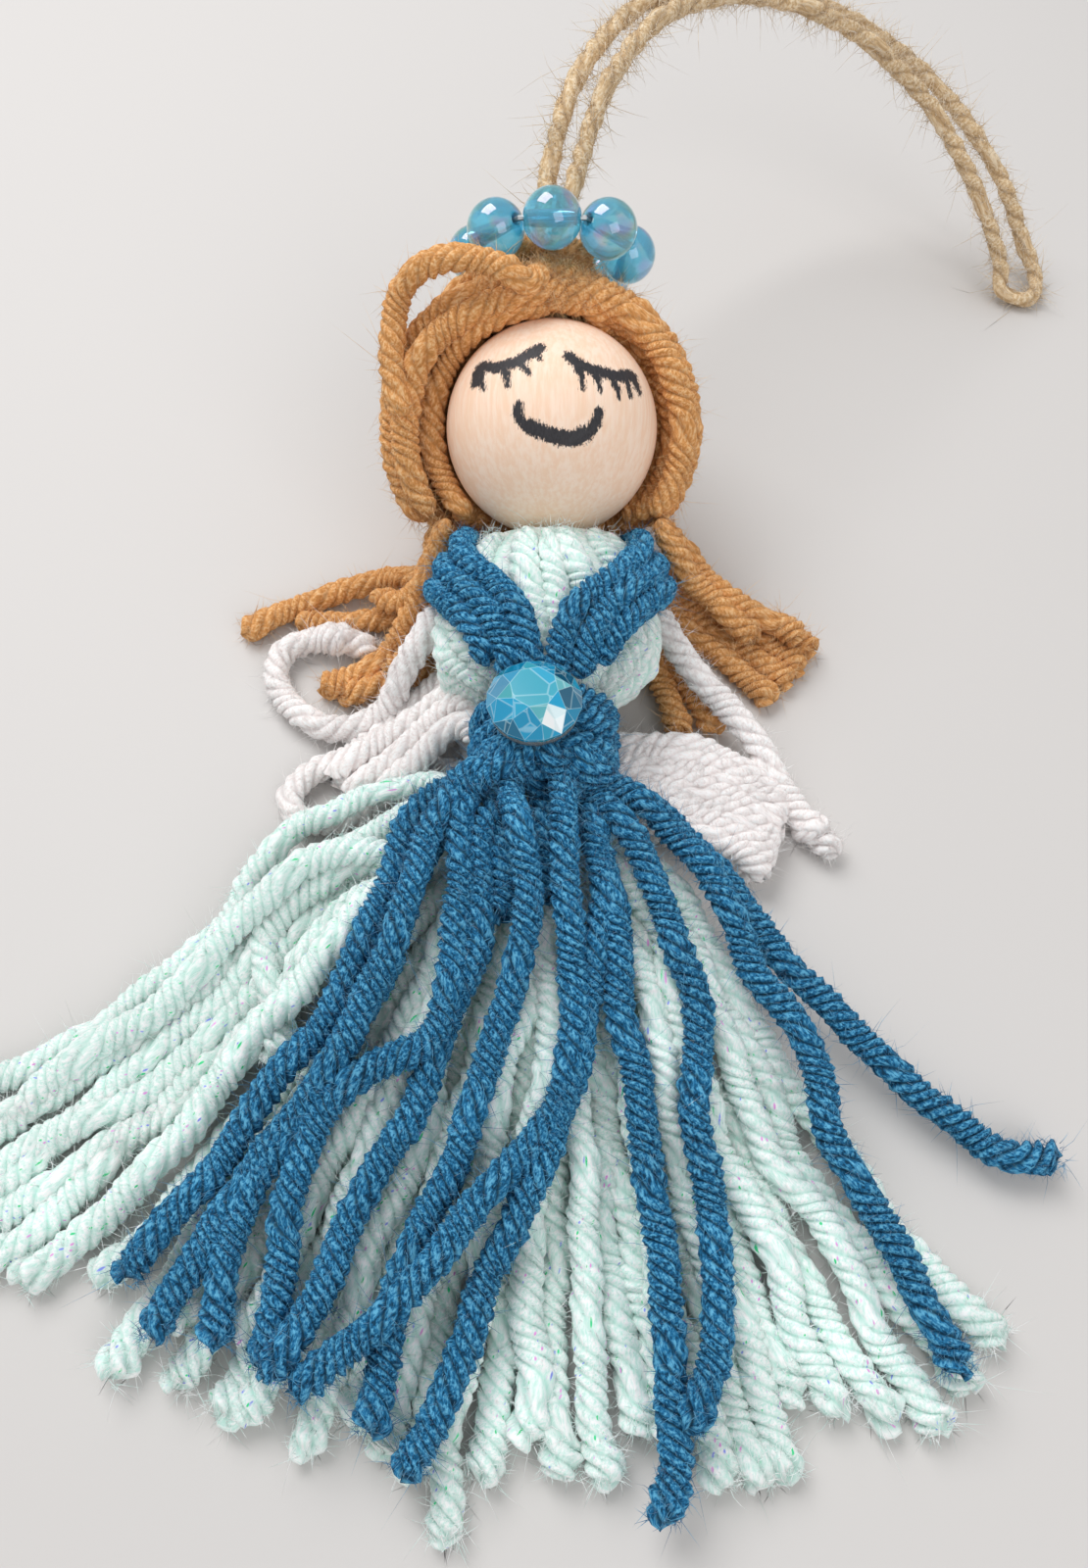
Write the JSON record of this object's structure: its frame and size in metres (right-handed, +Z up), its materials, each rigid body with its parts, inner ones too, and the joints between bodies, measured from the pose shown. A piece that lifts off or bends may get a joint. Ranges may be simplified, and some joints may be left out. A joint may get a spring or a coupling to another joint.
{
  "type": "yarn doll ornament",
  "caption": "Hanging doll ornament of knotted yarn with a wooden bead head, bead crown, faceted stone at the waist and a fanned skirt, lying on its back.",
  "frame": {"origin": "middle of the flat underside of the bow's knot, below the waist, on the surface the doll lies on", "axes": "+Z up, +Y toward the head, +X to the right as seen from the feet"},
  "size_m": [0.1737, 0.2214, 0.053],
  "materials": {
    "hair_yarn": "matte twisted yarn",
    "mint_yarn": "matte twisted yarn with fine tinsel",
    "blue_yarn": "matte twisted yarn",
    "white_yarn": "matte twisted yarn",
    "twine": "rough two-ply twine",
    "head_wood": "unfinished turned wood",
    "crown_bead": "clear with a rainbow coat",
    "stone": "faceted, foil backed",
    "glue": "clear craft glue",
    "crown_wire": "thin bead wire"
  },
  "bodies": {
    "doll": {"torso": "mint_yarn", "strap_right": "blue_yarn", "strap_left": "blue_yarn", "waist_winding": "blue_yarn", "stone": "stone", "stone_glue": "glue", "bow_knot": "white_yarn", "wing_right": "white_yarn", "wing_left": "white_yarn", "neck_cord": "twine", "hanger": "twine", "hair_tail_left_1": "hair_yarn", "hair_tail_left_2": "hair_yarn", "hair_tail_left_3": "hair_yarn", "hair_tail_left_4": "hair_yarn", "hair_tail_right_fan": "hair_yarn", "hair_tail_right_low": "hair_yarn", "skirt_lock_01": "mint_yarn", "skirt_lock_02": "mint_yarn", "skirt_lock_03": "mint_yarn", "skirt_lock_04": "mint_yarn", "skirt_lock_05": "mint_yarn", "skirt_lock_06": "mint_yarn", "skirt_lock_07": "mint_yarn", "skirt_lock_08": "mint_yarn", "skirt_lock_09": "mint_yarn", "skirt_lock_10": "mint_yarn", "skirt_lock_11": "mint_yarn", "blue_strand_01": "blue_yarn", "blue_strand_02": "blue_yarn", "blue_strand_03": "blue_yarn", "blue_strand_04": "blue_yarn", "blue_strand_05": "blue_yarn", "blue_strand_06": "blue_yarn", "blue_strand_07": "blue_yarn", "blue_strand_08": "blue_yarn", "blue_strand_09": "blue_yarn", "blue_strand_10": "blue_yarn", "blue_strand_11": "blue_yarn", "blue_strand_12": "blue_yarn"},
    "head": {"head_bead": "head_wood", "hair_left": "hair_yarn", "hair_right": "hair_yarn", "hair_tuft": "hair_yarn", "hair_loop": "hair_yarn"},
    "crown": {"crown_bead_1": "crown_bead", "crown_bead_2": "crown_bead", "crown_bead_3": "crown_bead", "crown_bead_4": "crown_bead", "crown_bead_5": "crown_bead", "crown_bead_6": "crown_bead", "crown_bead_7": "crown_bead", "crown_bead_8": "crown_bead", "crown_wire": "crown_wire"},
    "arm_right": {"arm_right": "white_yarn"},
    "arm_left": {"arm_left": "white_yarn"}
  },
  "joints": [
    {"name": "head_turn", "type": "hinge", "parent": "doll", "child": "head", "pos_m": [0.0011, 0.0466, 0.0255], "axis": [0, 0.866, 0.5], "range_deg": [-12, 12]},
    {"name": "crown_turn", "type": "hinge", "parent": "head", "child": "crown", "pos_m": [0.0011, 0.0466, 0.0255], "axis": [0, 0.866, 0.5], "continuous": true},
    {"name": "arm_right_lift", "type": "hinge", "parent": "doll", "child": "arm_right", "pos_m": [0.01744, 0.0222, 0.01073], "axis": [-0.8145, -0.5801, 0], "range_deg": [0, 50]},
    {"name": "arm_left_lift", "type": "hinge", "parent": "doll", "child": "arm_left", "pos_m": [-0.01654, 0.0218, 0.01189], "axis": [-0.2922, 0.9564, 0], "range_deg": [0, 45]}
  ]
}
